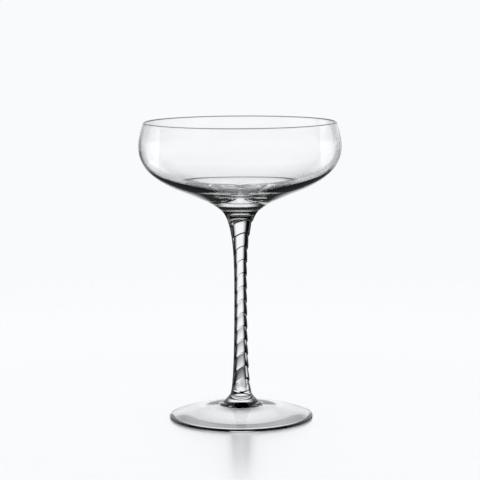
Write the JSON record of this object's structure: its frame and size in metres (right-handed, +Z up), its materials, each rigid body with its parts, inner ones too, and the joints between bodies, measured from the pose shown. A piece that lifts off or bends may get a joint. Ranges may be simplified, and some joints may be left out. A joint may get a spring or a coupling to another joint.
{
  "type": "coupe cocktail glass",
  "caption": "Clear glass coupe: a wide shallow bowl that turns in at the rim, on a slim solid stem with overlapping scales, standing on a round spreading foot.",
  "frame": {"origin": "centre of the ring that the foot stands on, at table height", "axes": "+Z up along the stem; +X to the right of the picture, +Y away from its viewer"},
  "size_m": [0.1058, 0.1058, 0.156],
  "materials": {
    "clear_glass": "clear, fire-polished, smooth"
  },
  "bodies": {
    "root": {"bowl": "clear_glass", "stem": "clear_glass", "foot": "clear_glass"}
  },
  "joints": []
}
